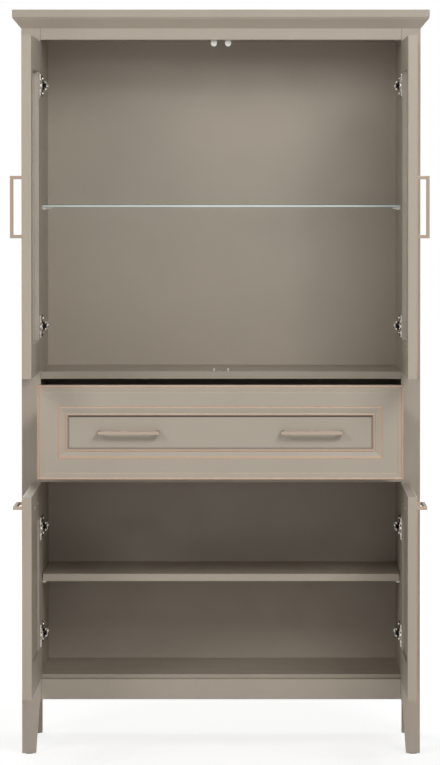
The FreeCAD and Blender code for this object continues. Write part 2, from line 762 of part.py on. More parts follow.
def door(level, base, height, fill_thickness, fill_name, handle_upright):
    """Both doors of one level: the left one as built, and its mirror image."""
    pieces = leaf(DOOR_WIDTH, height, fill_thickness)
    for z in hinge_heights(0, height):
        pieces["left"] = pieces["left"].cut(cup_pocket(z))
    cups = [hinge_cup(z) for z in hinge_heights(0, height)]

    if handle_upright:
        handle_place = (DOOR_WIDTH - HANDLE_FROM_EDGE, FLAT_DEPTH, height / 2)
    else:
        handle_place = (DOOR_WIDTH / 2, FLAT_DEPTH, height - HANDLE_FROM_EDGE)

    nodes = {
        "stiles": opened([pieces["left"], pieces["right"]], base),
        "rails": opened([pieces["lower"], pieces["upper"]], base),
        fill_name: opened([pieces["fill"]], base),
        "handle": opened([handle(handle_upright, handle_place)], base),
        "hinge_cups": opened(cups, base),
        "hinge_links": [hinge_link(z) for z in hinge_heights(base, height)],
    }
    for name, solids in nodes.items():
        save(f"{level}_left_door_{name}", solids)
        save(f"{level}_right_door_{name}", [mirrored(solid) for solid in solids])


def door_stops():
    """Soft bumpers under the ceiling and short pegs on the floor, behind the meeting edges."""
    face = FRONT + LEAF_THICKNESS + STOP_CLEARANCE
    x = -STOP_SPACING / 2
    radius = BUMPER_WIDTH / 2
    centre = TOP_RAIL_BASE - BUMPER_DROP + radius
    upper = block((x - radius, face, centre), (x + radius, face + BUMPER_LENGTH, CEILING))
    lower = rod(radius, (x, face, centre), REARWARD, BUMPER_LENGTH, LARGE_ROUND_SIDES)
    save("door_bumpers", both_sides(upper.fuse(lower).removeSplitter()))
    peg = rod(PEG_RADIUS, (x, face + PEG_RADIUS, MIDDLE_PANEL_TOP), UP, PEG_HEIGHT)
    save("door_pegs", both_sides(peg))


# ---- Drawer ----
def channel(outer_height, near_wall, web_at_wall, far_wall):
    """One telescopic slide member on the left, closed: a channel with its web on one side."""
    z = DIVIDER_TOP + SLIDE_ABOVE_DIVIDER
    half = outer_height / 2
    wall = -HALF_OPENING
    start = FRONT + SLIDE_START
    end = start + SLIDE_LENGTH
    solid = block((wall + near_wall, start, z - half), (wall + far_wall, end, z + half))
    inner = half - SLIDE_SHEET
    if web_at_wall:
        hollow = (wall + near_wall + SLIDE_SHEET, wall + far_wall)
    else:
        hollow = (wall + near_wall, wall + far_wall - SLIDE_SHEET)
    return solid.cut(block((hollow[0], start, z - inner), (hollow[1], end, z + inner)))


def slides():
    layer = SLIDE_SHEET + SLIDE_LAYER_GAP
    outer = channel(SLIDE_OUTER_HEIGHT, 0, True, SLIDE_WIDTH - layer)
    middle = channel(SLIDE_MIDDLE_HEIGHT, layer, True, SLIDE_WIDTH - layer)
    inner = channel(SLIDE_INNER_HEIGHT, 2 * layer, False, SLIDE_WIDTH)
    middle.translate(Vector(0, -DRAWER_PULLED_OUT / 2, 0))
    inner.translate(Vector(0, -DRAWER_PULLED_OUT, 0))
    save("slide_outer_members", both_sides(outer))
    save("slide_middle_members", both_sides(middle))
    save("slide_inner_members", both_sides(inner))


def drawer():
    pulled = Vector(0, -DRAWER_PULLED_OUT, 0)
    front = leaf(DRAWER_FRONT_WIDTH, DRAWER_FRONT_HEIGHT, WOOD_FILL_THICKNESS)
    corner = Vector(-DRAWER_FRONT_WIDTH / 2, FRONT, DRAWER_BASE)
    for solid in front.values():
        solid.translate(corner)

    outer = HALF_OPENING - SLIDE_WIDTH
    inner = outer - DRAWER_BOARD
    y0 = FRONT + LEAF_THICKNESS
    y1 = y0 + DRAWER_BOX_LENGTH
    z0 = DRAWER_BASE + DRAWER_BOX_LIFT
    z1 = z0 + DRAWER_BOX_HEIGHT
    bottom_z = z0 + DRAWER_BOTTOM_LIFT
    let_in = DRAWER_BOTTOM_GROOVE

    def bottom(clearance):
        reach = let_in - clearance
        return block(
            (-inner - reach, y0 + DRAWER_BOARD - reach, bottom_z),
            (inner + reach, y1 - DRAWER_BOARD + reach, bottom_z + DRAWER_BOTTOM_THICKNESS),
        )

    side = block((-outer, y0, z0), (-inner, y1, z1)).cut(bottom(0))
    box_front = block((-inner, y0, z0), (inner, y0 + DRAWER_BOARD, z1)).cut(bottom(0))
    box_back = block((-inner, y1 - DRAWER_BOARD, z0), (inner, y1, z1)).cut(bottom(0))

    handle_place = (
        -DRAWER_HANDLE_SPACING / 2,
        FRONT + FILL_DEPTH,
        DRAWER_BASE + DRAWER_FRONT_HEIGHT / 2,
    )

    nodes = {
        "drawer_front_stiles": [front["left"], front["right"]],
        "drawer_front_rails": [front["lower"], front["upper"]],
        "drawer_front_panel": [front["fill"]],
        "drawer_box_sides": both_sides(side),
        "drawer_box_ends": [box_front, box_back],
        "drawer_bottom": [bottom(FIT_CLEARANCE)],
        "drawer_handles": both_sides(handle(False, handle_place)),
    }
    for name, solids in nodes.items():
        for solid in solids:
            solid.translate(pulled)
        save(name, solids)


os.makedirs("parts", exist_ok=True)
carcass()
foot_glides()
cornice()
shelves()
door_stops()
fixed_hinge_halves()
door("upper", UPPER_DOOR_BASE, UPPER_DOOR_HEIGHT, GLASS_THICKNESS, "glass", True)
door("lower", LOWER_DOOR_BASE, LOWER_DOOR_HEIGHT, WOOD_FILL_THICKNESS, "panel", False)
slides()
drawer()
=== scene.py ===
import json
from math import cos, radians, sin

import bmesh
import bpy
from mathutils import Matrix, Vector


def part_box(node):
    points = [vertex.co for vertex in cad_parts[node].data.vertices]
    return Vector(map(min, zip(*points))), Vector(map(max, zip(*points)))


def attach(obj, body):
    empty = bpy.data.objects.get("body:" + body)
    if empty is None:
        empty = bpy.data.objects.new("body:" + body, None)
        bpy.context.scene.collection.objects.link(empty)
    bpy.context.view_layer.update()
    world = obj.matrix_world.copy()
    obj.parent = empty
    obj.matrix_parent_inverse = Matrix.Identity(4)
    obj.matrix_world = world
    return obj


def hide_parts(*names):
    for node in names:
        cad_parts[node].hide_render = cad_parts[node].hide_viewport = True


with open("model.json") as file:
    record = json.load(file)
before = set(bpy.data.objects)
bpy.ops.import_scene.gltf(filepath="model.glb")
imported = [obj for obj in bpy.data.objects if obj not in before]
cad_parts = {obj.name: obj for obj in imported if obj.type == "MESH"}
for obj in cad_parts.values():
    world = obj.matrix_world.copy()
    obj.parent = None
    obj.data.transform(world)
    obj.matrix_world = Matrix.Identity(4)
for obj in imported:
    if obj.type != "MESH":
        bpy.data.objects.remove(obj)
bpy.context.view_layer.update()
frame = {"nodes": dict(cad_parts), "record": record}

MM = 0.001
NODES = frame["nodes"]
RECORD = frame["record"]
SLOT_OF = {part["node"]: part["material_slot"] for part in RECORD["subparts"]}
BODY_OF = {node: body for body, nodes in RECORD["behaviour"]["bodies"].items() for node in nodes}
SIDES = (("left", -1), ("right", 1))
LEVELS = ("upper", "lower")


def linear(code):
    """An sRGB hex colour as the linear values that shaders take."""
    channels = [int(code[i : i + 2], 16) / 255 for i in (0, 2, 4)]
    return [c / 12.92 if c <= 0.04045 else ((c + 0.055) / 1.055) ** 2.4 for c in channels] + [1.0]


def pattern_scale(spot_mm):
    """The scale at which a pattern's spots are about this many mm across."""
    return 1 / (spot_mm * MM)


# ---- Shader building ----
def new_material(name):
    material = bpy.data.materials.new(name)
    material.use_nodes = True
    material.node_tree.nodes.clear()
    return material, material.node_tree


def add(tree, kind, inputs=None, **settings):
    """Adds one shader node. An input is a socket's value, or the output to link to it, and a node
    stands for its first output. Settings are the node's own attributes."""
    node = tree.nodes.new(f"ShaderNode{kind}")
    for key, value in settings.items():
        setattr(node, key, value)
    for key, value in (inputs or {}).items():
        if isinstance(value, bpy.types.Node):
            value = value.outputs[0]
        if isinstance(value, bpy.types.NodeSocket):
            tree.links.new(value, node.inputs[key])
        else:
            node.inputs[key].default_value = value
    return node


def surface(tree, inputs):
    """Ends a material with its one Principled shader."""
    shader = add(tree, "BsdfPrincipled", inputs)
    add(tree, "OutputMaterial", {"Surface": shader})


# ---- Paint ----
GREIGE = "B4A99A"
GREIGE_WORN = "B1A697"
COPPER = "C4977A"
COPPER_WORN = "CDA589"
# Pale copper for the painted highlight on the rails.
COPPER_HIGHLIGHT = "DFC4AE"
# Brown for the painted shade in the mouldings' hollows.
PAINTED_SHADE_BROWN = "3E3228"


def clouded_greige(tree, place):
    """Greige with the soft clouding that a sprayed and hand-rubbed coat leaves."""
    cloud = add(tree, "TexNoise", {"Vector": place, "Scale": pattern_scale(180), "Detail": 3.0})
    thinness = add(tree, "MapRange", {"Value": cloud, "From Min": 0.35, "From Max": 0.65})
    # A Mix node set to colours takes the share at 0 and the two colours at 6 and 7, and gives 2.
    tones = {0: thinness, 6: linear(GREIGE), 7: linear(GREIGE_WORN)}
    return add(tree, "Mix", tones, data_type="RGBA").outputs[2]


def orange_peel(tree, place):
    """Orange peel of a sprayed coat. The real one is about 1 mm across; drawn at 2.5 mm to show."""
    peel = add(tree, "TexNoise", {"Vector": place, "Scale": pattern_scale(2.5), "Detail": 2.0})
    return add(tree, "Bump", {"Height": peel, "Distance": 0.04 * MM, "Strength": 0.5})


def satin_greige_lacquer():
    # Sprayed satin furniture lacquer on wood: even colour, a soft broad sheen, faint clouding.
    material, tree = new_material("satin_greige_lacquer")
    place = add(tree, "TexCoord").outputs["Object"]
    patches = add(tree, "TexNoise", {"Vector": place, "Scale": pattern_scale(60), "Detail": 2.0})
    sheen = {"Value": patches, "From Min": 0.3, "From Max": 0.7, "To Min": 0.40, "To Max": 0.50}
    surface(
        tree,
        {
            "Base Color": clouded_greige(tree, place),
            "Roughness": add(tree, "MapRange", sheen),
            "IOR": 1.5,
            "Normal": orange_peel(tree, place),
        },
    )
    return material


# Copper lines on a framed leaf: distance in from the leaf's edge in mm, and how strong the line is.
COPPER_LINES = [
    # The edge bead and its quirk.
    (0.0, 0.75), (4.6, 0.85), (6.2, 0.45), (7.2, 0.0),
    # The foot of the step down to the flat.
    (13.6, 0.0), (14.6, 0.4), (16.2, 0.4), (17.2, 0.0),
    # The arris between the flat and the bevel.
    (49.4, 0.0), (50.2, 1.0), (53.0, 0.9), (54.8, 0.0),
    # The lip bead.
    (66.0, 0.0), (67.2, 0.7), (70.8, 0.7), (71.6, 0.0), (76.5, 0.0),
]
# Brown painted shade in the hollows, where the mouldings' shadows fall; at full strength on a top rail,
# under whose lip the shadow from the lamps above is deepest.
PAINTED_SHADE_LINES = [
    # Beside the quirk.
    (0.0, 0.0), (4.7, 0.0), (5.1, 0.5), (5.9, 0.0),
    # Inside the lip bead, up to the panel or pane.
    (70.9, 0.0), (71.6, 1.0), (74.2, 1.0), (75.4, 0.3), (76.5, 0.0),
]
# A little more than a member's width, in mm.
LINE_SPAN = 80.0
# How strong the painted shade is on the members other than the top rail.
PAINTED_SHADE_OFF_TOP_RAIL = 0.55
# Rails carry a painted highlight, paler copper, up to this distance from the leaf's edge in mm.
HIGHLIGHT_EDGE = 20.0
# How deep in mm the glaze and the painted shade go down from the face: little at the leaf's edge,
# further at the lip.
EDGE_REACH = 1.6
FACE_REACH = 9.0
# Keeps the mitre line itself with the top rail, in mm.
MITRE_SLACK = 0.01


def edge_distance(tree, along, low, high):
    """Distance in mm from the nearer of two edges of a leaf, along one axis."""
    from_low = add(tree, "Math", {0: along, 1: low}, operation="SUBTRACT")
    from_high = add(tree, "Math", {0: high, 1: along}, operation="SUBTRACT")
    nearer = add(tree, "Math", {0: from_low, 1: from_high}, operation="MINIMUM")
    return add(tree, "Math", {0: nearer, 1: MM}, operation="DIVIDE")


def line_strength(tree, inward, lines):
    """How strong a set of lines is at a distance in from the leaf's edge."""
    share = add(tree, "Math", {0: inward, 1: LINE_SPAN}, operation="DIVIDE")
    ramp = add(tree, "ValToRGB", {"Fac": share})
    stops = ramp.color_ramp.elements
    for _ in lines[2:]:
        stops.new(1.0)
    for stop, (at, strength) in zip(stops, lines):
        stop.position = at / LINE_SPAN
        stop.color = (strength, strength, strength, 1.0)
    return ramp


def glaze_and_shade_depth(tree, along, low, high, inward):
    """1 on a leaf's faces down to where the glaze was rubbed in and the painted shade reaches, and 0
    deeper.
    """
    outer = max(abs(low), abs(high))
    from_middle = add(tree, "Math", {0: along}, operation="ABSOLUTE")
    depth = add(tree, "Math", {0: outer, 1: from_middle}, operation="SUBTRACT")
    depth_mm = add(tree, "Math", {0: depth, 1: MM}, operation="DIVIDE")
    at_edge = {"From Min": 3.0, "From Max": 7.0, "To Min": EDGE_REACH, "To Max": FACE_REACH}
    reach = add(tree, "MapRange", {"Value": inward, **at_edge})
    over = add(tree, "Math", {0: depth_mm, 1: reach}, operation="SUBTRACT")
    fade = {"Value": over, "From Min": 0.0, "From Max": 0.8, "To Min": 1.0, "To Max": 0.0}
    return add(tree, "MapRange", fade)


def rubbed_through(tree, place):
    """How much glaze the rubbing left, patch by patch."""
    wear = {"Vector": place, "Scale": pattern_scale(14), "Detail": 3.0, "Roughness": 0.6}
    patches = add(tree, "TexNoise", wear)
    left = {"Value": patches, "From Min": 0.32, "From Max": 0.60, "To Min": 0.6, "To Max": 1.0}
    return add(tree, "MapRange", left)


def copper_tone(tree, place, painted_highlight):
    """Copper, brighter in patches, and paler where a painted highlight lies."""
    patches = add(tree, "TexNoise", {"Vector": place, "Scale": pattern_scale(9), "Detail": 2.0})
    tones = {0: patches, 6: linear(COPPER), 7: linear(COPPER_WORN)}
    worn = add(tree, "Mix", tones, data_type="RGBA").outputs[2]
    highlighting = {0: painted_highlight, 6: worn, 7: linear(COPPER_HIGHLIGHT)}
    return add(tree, "Mix", highlighting, data_type="RGBA").outputs[2]


def copper_lined_lacquer(name, leaf_nodes, width_axis, depth_axis):
    """The lacquer with copper glaze rubbed into a leaf's mouldings, on its faces only, with brown
    painted shade in its hollows and a painted highlight on its rails.
    """
    # Greige lacquer as on the carcass; metallic copper glaze caught in the quirks and on the beads.
    material, tree = new_material(name)
    place = add(tree, "TexCoord").outputs["Object"]
    boxes = [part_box(node) for node in leaf_nodes]
    low = [min(box[0][axis] for box in boxes) for axis in range(3)]
    high = [max(box[1][axis] for box in boxes) for axis in range(3)]
    parts = add(tree, "SeparateXYZ", {"Vector": place}).outputs
    across = edge_distance(tree, parts[width_axis], low[width_axis], high[width_axis])
    upright = edge_distance(tree, parts[2], low[2], high[2])
    inward = add(tree, "Math", {0: across, 1: upright}, operation="MINIMUM")
    on_rail = add(tree, "Math", {0: upright, 1: across}, operation="LESS_THAN")
    under_top = add(tree, "Math", {0: high[2], 1: parts[2]}, operation="SUBTRACT")
    under_top_mm = add(tree, "Math", {0: under_top, 1: MM}, operation="DIVIDE")
    up_to_mitre = add(tree, "Math", {0: inward, 1: MITRE_SLACK}, operation="ADD")
    on_top_rail = add(tree, "Math", {0: under_top_mm, 1: up_to_mitre}, operation="LESS_THAN")

    on_face = glaze_and_shade_depth(tree, parts[depth_axis], low[depth_axis], high[depth_axis], inward)
    left_on_face = {0: rubbed_through(tree, place), 1: on_face}
    worn_face = add(tree, "Math", left_on_face, operation="MULTIPLY")
    copper = {0: line_strength(tree, inward, COPPER_LINES), 1: worn_face}
    line = add(tree, "Math", copper, operation="MULTIPLY", use_clamp=True)
    # Painted shade: brown in the hollows, strongest on the top rail, where the shadow under the lip
    # falls.
    by_member = {"Value": on_top_rail, "To Min": PAINTED_SHADE_OFF_TOP_RAIL, "To Max": 1.0}
    shade_reach = add(tree, "Math", {0: on_face, 1: add(tree, "MapRange", by_member)}, operation="MULTIPLY")
    shade_inputs = {0: line_strength(tree, inward, PAINTED_SHADE_LINES), 1: shade_reach}
    painted_shade = add(tree, "Math", shade_inputs, operation="MULTIPLY", use_clamp=True)

    # Painted highlight: the copper is paler on the top rail and on the outer beads of both rails, where
    # they catch the light from above.
    near_edge = add(tree, "Math", {0: inward, 1: HIGHLIGHT_EDGE}, operation="LESS_THAN")
    outer_bead = add(tree, "Math", {0: on_rail, 1: near_edge}, operation="MULTIPLY")
    lit_from_above = add(tree, "Math", {0: on_top_rail, 1: outer_bead}, operation="MAXIMUM")
    painted_highlight = add(tree, "Math", {0: lit_from_above, 1: 0.7}, operation="MULTIPLY")
    lining = {0: line, 6: clouded_greige(tree, place), 7: copper_tone(tree, place, painted_highlight)}
    lined = add(tree, "Mix", lining, data_type="RGBA").outputs[2]
    # Lays the brown painted shade over the lined colour.
    shade_mix = {0: painted_shade, 6: lined, 7: linear(PAINTED_SHADE_BROWN)}
    surface(
        tree,
        {
            "Base Color": add(tree, "Mix", shade_mix, data_type="RGBA").outputs[2],
            "Metallic": add(tree, "Math", {0: line, 1: 0.15}, operation="MULTIPLY"),
            "Roughness": 0.45,
            "IOR": 1.5,
            "Normal": orange_peel(tree, place),
        },
    )
    return material


# ---- Other finishes ----
GLASS_IOR = 1.52


def float_glass(name, tint, shade, edge=None):
    """Float glass. The shade is what lamps lose through each face; the edge is a ground front edge."""
    # Float glass: clear and glossy; a ground edge scatters light and looks pale green.
    material, tree = new_material(name)
    clear = {"Base Color": linear(tint), "Transmission Weight": 1.0, "Roughness": 0.0, "IOR": GLASS_IOR}
    body = add(tree, "BsdfPrincipled", clear)
    if edge:
        facing = add(tree, "NewGeometry").outputs["True Normal"]
        forward = add(tree, "SeparateXYZ", {"Vector": facing}).outputs["Y"]
        is_front = add(tree, "Math", {0: forward, 1: -0.9}, operation="LESS_THAN")
        frosted = {"Base Color": linear(edge), "Roughness": 0.4, "IOR": GLASS_IOR}
        body = add(tree, "MixShader", {0: is_front, 1: body, 2: add(tree, "BsdfPrincipled", frosted)})
    dimmed = add(tree, "BsdfTransparent", {"Color": linear(shade)})
    towards_lamp = add(tree, "LightPath").outputs["Is Shadow Ray"]
    glass = add(tree, "MixShader", {0: towards_lamp, 1: body, 2: dimmed})
    add(tree, "OutputMaterial", {"Surface": glass})
    return material


def plated_metal(name, colour, roughness, grain_mm, ripple_mm=0.004, grazing="FFFFFF"):
    """A plated part: its colour from straight on and, as a tint, at a low angle; how dull it is,
    and the spacing and height of its polishing marks."""
    material, tree = new_material(name)
    place = add(tree, "TexCoord").outputs["Object"]
    marks = add(tree, "TexNoise", {"Vector": place, "Scale": pattern_scale(grain_mm), "Detail": 3.0})
    duller = {"From Min": 0.3, "From Max": 0.7, "To Min": roughness - 0.03, "To Max": roughness + 0.03}
    surface(
        tree,
        {
            "Base Color": linear(colour),
            "Metallic": 1.0,
            "Specular Tint": linear(grazing),
            "Roughness": add(tree, "MapRange", {"Value": marks, **duller}),
            "Normal": add(tree, "Bump", {"Height": marks, "Distance": ripple_mm * MM, "Strength": 1.0}),
        },
    )
    return material


def moulded_plastic(name, colour, roughness):
    """Injection-moulded plastic: even colour and a fine cast grain, drawn at 0.8 mm to show."""
    material, tree = new_material(name)
    place = add(tree, "TexCoord").outputs["Object"]
    grain = add(tree, "TexNoise", {"Vector": place, "Scale": pattern_scale(0.8), "Detail": 2.0})
    surface(
        tree,
        {
            "Base Color": linear(colour),
            "Roughness": roughness,
            "IOR": 1.46,
            "Normal": add(tree, "Bump", {"Height": grain, "Distance": 0.02 * MM, "Strength": 0.4}),
        },
    )
    return material


LACQUER = satin_greige_lacquer()
# Bright nickel on sheet steel: white glints at the edges, and flats that mirror what they face.
NICKEL = plated_metal("nickel_plated_steel", "E6E3DC", roughness=0.20, grain_mm=6.0)
# Satin nickel on cast zinc: the same pale grey with softer glints.
SATIN_NICKEL = plated_metal("satin_nickel_plated_zinc", "E0DCD4", roughness=0.26, grain_mm=6.0)
# Nearly black steel with a dull gleam, put on the hinge plates and links as painted shade where they
# sit in shadow.
SHADE_DARK_STEEL = plated_metal("dark_steel_as_painted_shade", "3E3832", roughness=0.34, grain_mm=6.0)
# Zinc plate on steel: cool pale grey with a broad sheen.
ZINC = plated_metal("zinc_plated_steel", "B9BDC0", roughness=0.36, grain_mm=10.0)
# Champagne plate on cast zinc: polished warm beige, greyer at a low angle.
CHAMPAGNE = plated_metal(
    "champagne_plated_zinc",
    "B1A090",
    roughness=0.15,
    grain_mm=1.5,
    ripple_mm=0.0004,
    grazing="A89C8E",
)
# Polypropylene bumpers: milky white with a soft sheen.
WHITE_PLASTIC = moulded_plastic("white_polypropylene", "F2EFEA", roughness=0.35)
# Polyethylene pegs and pins: greyer and waxy.
PALE_PLASTIC = moulded_plastic("pale_polyethylene", "D8D6D0", roughness=0.40)
# Nylon glides: dark and matt.
GLIDE_PLASTIC = moulded_plastic("dark_nylon", "2E2A26", roughness=0.55)
# The door panes hold back most of the lamps' light, and the shelf hardly any.
GLASS = float_glass("clear_float_glass", "F6F9F7", shade="A0A0A0")
SHELF_GLASS = float_glass("shelf_float_glass", "F2F5F3", shade="F2F2F2", edge="DCE8E2")

FINISHES = {
    "nickel": NICKEL,
    "zinc_steel": ZINC,
    "champagne_metal": CHAMPAGNE,
    "white_plastic": WHITE_PLASTIC,
    "clear_plastic": PALE_PLASTIC,
    "glide_plastic": GLIDE_PLASTIC,
    "clear_glass": GLASS,
    "painted_wood": LACQUER,
}


def finish(piece, material):
    piece.data.materials.clear()
    piece.data.materials.append(material)


for node, slot in SLOT_OF.items():
    finish(NODES[node], FINISHES[slot])
    if node.endswith("hinge_cups"):
        finish(NODES[node], SATIN_NICKEL)
    # The hinge plates and links take the near-black steel as painted shade.
    if node.endswith("hinge_links") or node == "hinge_plates":
        finish(NODES[node], SHADE_DARK_STEEL)
finish(NODES["glass_shelf"], SHELF_GLASS)

X_AXIS, Y_AXIS = 0, 1
for level, members in (("upper", ("stiles", "rails")), ("lower", ("stiles", "rails", "panel"))):
    # Both doors of a pair mirror each other, so the left one's edges place the lines on both.
    left_frame = [f"{level}_left_door_stiles", f"{level}_left_door_rails"]
    lined = copper_lined_lacquer(f"copper_lined_lacquer_{level}_doors", left_frame, Y_AXIS, X_AXIS)
    for side, _ in SIDES:
        for member in members:
            finish(NODES[f"{level}_{side}_door_{member}"], lined)
drawer_frame = ["drawer_front_stiles", "drawer_front_rails"]
drawer_lined = copper_lined_lacquer("copper_lined_lacquer_drawer", drawer_frame, X_AXIS, Y_AXIS)
for node in drawer_frame + ["drawer_front_panel"]:
    finish(NODES[node], drawer_lined)


# ---- Pieces modelled here ----
UP = (0, 0, 1)
SHARP = radians(35)
# Screws are driven until they are tight, so no two crosses stand alike.
DRIVEN_TURN = radians(37)
# A pan head's section above its wide foot: shares of its height and of its radius.
HEAD_SECTION = ((0.55, 1.0), (0.9, 0.86), (1.0, 0.68))
# A cross recess, as shares of the head's radius and height.
CROSS_REACH = 0.42
CROSS_TAPER = 0.05
CROSS_DEPTH = 0.6


def new_piece(name, form, material, body):
    """Makes an object of a form, smooth except at its sharp edges, and lets it ride a body."""
    mesh = bpy.data.meshes.new(name)
    form.to_mesh(mesh)
    form.free()
    mesh.shade_smooth()
    mesh.set_sharp_from_angle(angle=SHARP)
    piece = bpy.data.objects.new(name, mesh)
    bpy.context.scene.collection.objects.link(piece)
    finish(piece, material)
    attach(piece, body)
    return piece


def softened(node, width_mm, segments=3):
    """The node's own form with its sharp edges rounded, in place of the node."""
    form = bmesh.new()
    form.from_mesh(NODES[node].data)
    bmesh.ops.remove_doubles(form, verts=form.verts[:], dist=0.01 * MM)
    bmesh.ops.dissolve_limit(form, angle_limit=radians(1), verts=form.verts[:], edges=form.edges[:])
    sharp = [edge for edge in form.edges if edge.calc_face_angle(0) > SHARP]
    bmesh.ops.bevel(
        form,
        geom=sharp,
        affect="EDGES",
        offset=width_mm * MM,
        segments=segments,
        profile=0.5,
        material=-1,
        clamp_overlap=True,
    )
    material = NODES[node].data.materials[0]
    piece = new_piece(f"{node}_softened", form, material, BODY_OF[node])
    # Keeps the flats flat to the eye, so that only the rounded edges bend a reflection.
    piece.modifiers.new("flat_faces", "WEIGHTED_NORMAL").keep_sharp = True
    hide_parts(node)


def cross_head(radius_mm, height_mm):
    """A pan screw head with a cross recess, standing on Z = 0."""
    form = bmesh.new()
    bmesh.ops.create_circle(form, segments=24, radius=radius_mm * MM)
    ring = form.edges[:]
    for level, size in HEAD_SECTION:
        ring = bmesh.ops.extrude_edge_only(form, edges=ring)["geom"]
        corners = [item for item in ring if isinstance(item, bmesh.types.BMVert)]
        ring = [item for item in ring if isinstance(item, bmesh.types.BMEdge)]
        scale = radius_mm * MM * size / corners[0].co.xy.length
        bmesh.ops.scale(form, vec=(scale, scale, 1), verts=corners)
        for corner in corners:
            corner.co.z = height_mm * level * MM
    half = CROSS_REACH * radius_mm * MM
    grid = bmesh.ops.create_grid(form, x_segments=3, y_segments=3, size=half)["verts"]
    bmesh.ops.translate(form, vec=(0, 0, height_mm * MM), verts=grid)
    squares = {face for corner in grid for face in corner.link_faces}
    reach = max(face.calc_center_median().xy.length for face in squares)
    outer = [face for face in squares if face.calc_center_median().xy.length > 0.9 * reach]
    bmesh.ops.delete(form, geom=outer, context="FACES")
    cross = list(squares - set(outer))
    border = [edge for face in cross for edge in face.edges if edge.is_boundary]
    bmesh.ops.bridge_loops(form, edges=ring + list(dict.fromkeys(border)))
    taper = CROSS_TAPER * radius_mm * MM
    bmesh.ops.inset_region(form, faces=cross, thickness=taper, depth=-CROSS_DEPTH * height_mm * MM)
    bmesh.ops.recalc_face_normals(form, faces=form.faces[:])
    return form


def scattered(form, places):
    """Copies a form that stands on +Z to each place in mm, turned to face a direction."""
    first = form.verts[:] + form.edges[:] + form.faces[:]
    first_corners = form.verts[:]
    for count, (place, direction) in enumerate(places):
        copy = bmesh.ops.duplicate(form, geom=first)["geom"]
        corners = [item for item in copy if isinstance(item, bmesh.types.BMVert)]
        driven = Matrix.Rotation(count * DRIVEN_TURN, 4, "Z")
        turn = Vector(UP).rotation_difference(Vector(direction)).to_matrix().to_4x4()
        seated = Matrix.Translation(Vector(place) * MM) @ turn @ driven
        bmesh.ops.transform(form, matrix=seated, verts=corners)
    bmesh.ops.delete(form, geom=first_corners, context="VERTS")
    return form


# ---- Fixing screws ----
# Sizes in mm. A screw's place is counted back from the front end of the piece that it holds.
COVER_HEIGHT = 63.0
COVER_THICKNESS = 1.2
COVER_SCREW_BACK = 13.5
COVER_SCREW_OFFSETS = (-24.0, 24.0)
PLATE_THICKNESS = 2.0
PLATE_SCREW_BACK = 17.0
PLATE_SCREW_OFFSETS = (-18.0, 18.0)
ARM_RISE = 13.5
ARM_SCREWS_BACK = (35.0, 63.0)
HANDLE_LENGTH = 144.0
HANDLE_SCREW_OFFSETS = (-68.0, 68.0)
BOX_END_THICKNESS = 12.0
# Each screw head's radius and height.
COVER_SCREW = (3.6, 2.0)
PLATE_SCREW = (3.8, 2.2)
ARM_SCREW = (3.0, 1.6)
HANDLE_SCREW = (4.0, 2.0)


def box_mm(node):
    low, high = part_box(node)
    return low / MM, high / MM


def screws(name, head, places, material, body):
    """Cross-head screws of one size, as one piece."""
    new_piece(name, scattered(cross_head(*head), places), material, body)


# The inner sides' faces stand flush with the inner faces of the open doors.
SIDE_FACE = box_mm("inner_side_right")[0].x
cover_front = box_mm("upper_left_door_hinge_cups")[0].y
plate_front = box_mm("hinge_plates")[0].y
arm_front = box_mm("hinge_arms")[0].y

plate_screws, arm_screws = [], []
for level in LEVELS:
    covers_low, covers_high = box_mm(f"{level}_left_door_hinge_cups")
    heights = (covers_low.z + COVER_HEIGHT / 2, covers_high.z - COVER_HEIGHT / 2)
    for side, hand in SIDES:
        inward = (-hand, 0, 0)
        cover_screws = []
        for z in heights:
            for offset in COVER_SCREW_OFFSETS:
                x = hand * (SIDE_FACE - COVER_THICKNESS)
                cover_screws.append(((x, cover_front + COVER_SCREW_BACK, z + offset), inward))
            for offset in PLATE_SCREW_OFFSETS:
                x = hand * (SIDE_FACE - PLATE_THICKNESS)
                plate_screws.append(((x, plate_front + PLATE_SCREW_BACK, z + offset), inward))
            for back in ARM_SCREWS_BACK:
                x = hand * (SIDE_FACE - ARM_RISE)
                arm_screws.append(((x, arm_front + back, z), inward))
        leaf = f"{level}_{side}_door"
        screws(f"{leaf}_hinge_screws", COVER_SCREW, cover_screws, NICKEL, leaf)
screws("hinge_plate_screws", PLATE_SCREW, plate_screws, NICKEL, "cabinet")
screws("hinge_arm_screws", ARM_SCREW, arm_screws, NICKEL, "cabinet")

for side, hand in SIDES:
    for level in LEVELS:
        leaf = f"{level}_{side}_door"
        low, high = box_mm(f"{leaf}_handle")
        middle = (low + high) / 2
        places = []
        for offset in HANDLE_SCREW_OFFSETS:
            # The upper handles stand upright, and the lower ones lie along the door's top.
            along = (0, 0, offset) if level == "upper" else (0, offset, 0)
            seat = Vector((hand * SIDE_FACE, middle.y, middle.z)) + Vector(along)
            places.append((seat, (-hand, 0, 0)))
        # These heads face the room when a door stands open, so they are painted like the door.
        screws(f"{leaf}_handle_screws", HANDLE_SCREW, places, LACQUER, leaf)

handles_low, handles_high = box_mm("drawer_handles")
handle_centre = handles_high.x - HANDLE_LENGTH / 2
handle_height = (handles_low.z + handles_high.z) / 2
box_end = box_mm("drawer_front_stiles")[1].y + BOX_END_THICKNESS
drawer_screws = [
    ((centre + offset, box_end, handle_height), (0, 1, 0))
    for centre in (-handle_centre, handle_centre)
    for offset in HANDLE_SCREW_OFFSETS
]
screws("drawer_handle_screws", HANDLE_SCREW, drawer_screws, ZINC, "drawer")

